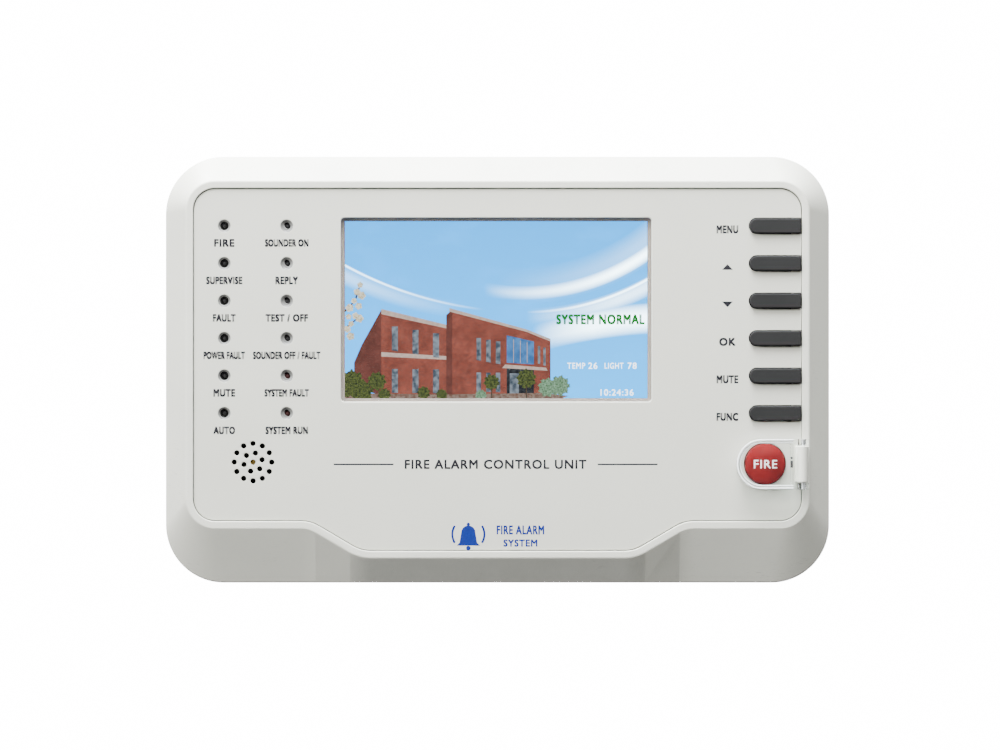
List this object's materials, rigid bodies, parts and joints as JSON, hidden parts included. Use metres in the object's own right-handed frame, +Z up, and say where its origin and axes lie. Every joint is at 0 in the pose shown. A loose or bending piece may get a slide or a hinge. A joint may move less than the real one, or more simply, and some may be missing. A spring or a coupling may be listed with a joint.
{
  "type": "fire alarm control panel",
  "caption": "Wall-mounted fire alarm control panel with a hinged front door, colour screen, indicators, keys, sounder and a guarded alarm button.",
  "frame": {"origin": "centre of the four wall screw holes, on the wall plane at the back of the housing", "axes": "+X to the panel's right as seen from the front, +Y into the wall, +Z up; the front faces -Y"},
  "size_m": [0.32, 0.0878, 0.2056],
  "materials": {
    "white_plastic": "fine satin moulding texture",
    "panel_plastic": "smooth semi-gloss",
    "clear_plastic": "clear",
    "screen": "gloss",
    "white_guide": "satin",
    "sheet_steel": "satin",
    "steel": "bright",
    "board": "semi-gloss solder mask",
    "chips": "matte",
    "black_plastic": "matte",
    "led": "gloss",
    "brass": "satin",
    "key_grey": "satin",
    "alarm_red": "gloss",
    "rocker_red": "gloss",
    "header": "matte",
    "ribbon": "satin",
    "relay_blue": "gloss",
    "terminal_green": "gloss",
    "battery_grey": "matte"
  },
  "bodies": {
    "housing": {"rear_housing": "white_plastic", "housing_hinges": "sheet_steel", "hinge_pins": "steel", "main_board": "board", "main_chips": "chips", "main_capacitors": "black_plastic", "relays": "relay_blue", "terminal_blocks": "terminal_green", "main_header": "header", "ribbon_cable": "ribbon", "board_standoffs": "brass", "board_screws": "steel", "supply_tray": "sheet_steel", "supply_cover": "sheet_steel", "supply_board": "board", "supply_parts": "chips", "mains_terminal": "black_plastic", "fuse_holder": "black_plastic", "switch_frames": "black_plastic", "battery_case": "battery_grey", "battery_tabs": "steel", "battery_strap": "sheet_steel", "lock_barrel": "steel", "lock_nut": "steel"},
    "door": {"front_cover": "white_plastic", "face_panel": "panel_plastic", "screen_window": "clear_plastic", "screen_frame": "sheet_steel", "screen_glass": "screen", "backlight": "white_guide", "display_board": "board", "display_chips": "chips", "indicator_board": "board", "indicator_leds": "led", "led_spacers": "black_plastic", "sounder_case": "black_plastic", "sounder_disc": "brass", "keypad_board": "board", "key_switches": "black_plastic", "alarm_switch": "black_plastic", "alarm_spring": "steel", "guard_block": "white_plastic", "guard_pin": "steel", "door_standoffs": "brass", "door_screws": "steel", "door_header": "header", "door_strike": "sheet_steel", "door_hinges": "sheet_steel"},
    "guard": {"guard_cover": "clear_plastic"},
    "alarm_button": {"alarm_button": "alarm_red"},
    "lock": {"lock_plug": "steel", "lock_cam": "steel"},
    "mains_rocker": {"mains_rocker": "rocker_red"},
    "standby_rocker": {"standby_rocker": "rocker_red"},
    "menu_key": {"menu_key": "key_grey"},
    "up_key": {"up_key": "key_grey"},
    "down_key": {"down_key": "key_grey"},
    "confirm_key": {"confirm_key": "key_grey"},
    "mute_key": {"mute_key": "key_grey"},
    "function_key": {"function_key": "key_grey"}
  },
  "joints": [
    {"name": "door_hinge", "type": "hinge", "parent": "housing", "child": "door", "pos_m": [-0.156, -0.0395, 0], "axis": [0, 0, -1], "range_deg": [0, 110]},
    {"name": "menu_key_press", "type": "slide", "parent": "door", "child": "menu_key", "axis": [0, 1, 0], "range_m": [0, 0.0012], "stiffness_N_per_m": 600, "springref_m": -0.0006},
    {"name": "up_key_press", "type": "slide", "parent": "door", "child": "up_key", "axis": [0, 1, 0], "range_m": [0, 0.0012], "stiffness_N_per_m": 600, "springref_m": -0.0006},
    {"name": "down_key_press", "type": "slide", "parent": "door", "child": "down_key", "axis": [0, 1, 0], "range_m": [0, 0.0012], "stiffness_N_per_m": 600, "springref_m": -0.0006},
    {"name": "confirm_key_press", "type": "slide", "parent": "door", "child": "confirm_key", "axis": [0, 1, 0], "range_m": [0, 0.0012], "stiffness_N_per_m": 600, "springref_m": -0.0006},
    {"name": "mute_key_press", "type": "slide", "parent": "door", "child": "mute_key", "axis": [0, 1, 0], "range_m": [0, 0.0012], "stiffness_N_per_m": 600, "springref_m": -0.0006},
    {"name": "function_key_press", "type": "slide", "parent": "door", "child": "function_key", "axis": [0, 1, 0], "range_m": [0, 0.0012], "stiffness_N_per_m": 600, "springref_m": -0.0006},
    {"name": "alarm_button_press", "type": "slide", "parent": "door", "child": "alarm_button", "axis": [0, 1, 0], "range_m": [0, 0.004], "stiffness_N_per_m": 400, "springref_m": -0.002, "deforming": ["alarm_spring"]},
    {"name": "guard_hinge", "type": "hinge", "parent": "door", "child": "guard", "pos_m": [0.1464, -0.0836, -0.0452], "axis": [0, 0, 1], "range_deg": [0, 135]},
    {"name": "lock_turn", "type": "hinge", "parent": "housing", "child": "lock", "pos_m": [0.14, -0.026, 0], "axis": [-1, 0, 0], "range_deg": [0, 90]},
    {"name": "mains_rocker_tilt", "type": "hinge", "parent": "housing", "child": "mains_rocker", "pos_m": [0.068, -0.037, -0.064], "axis": [1, 0, 0], "range_deg": [0, 14]},
    {"name": "standby_rocker_tilt", "type": "hinge", "parent": "housing", "child": "standby_rocker", "pos_m": [0.088, -0.037, -0.064], "axis": [1, 0, 0], "range_deg": [0, 14]}
  ]
}
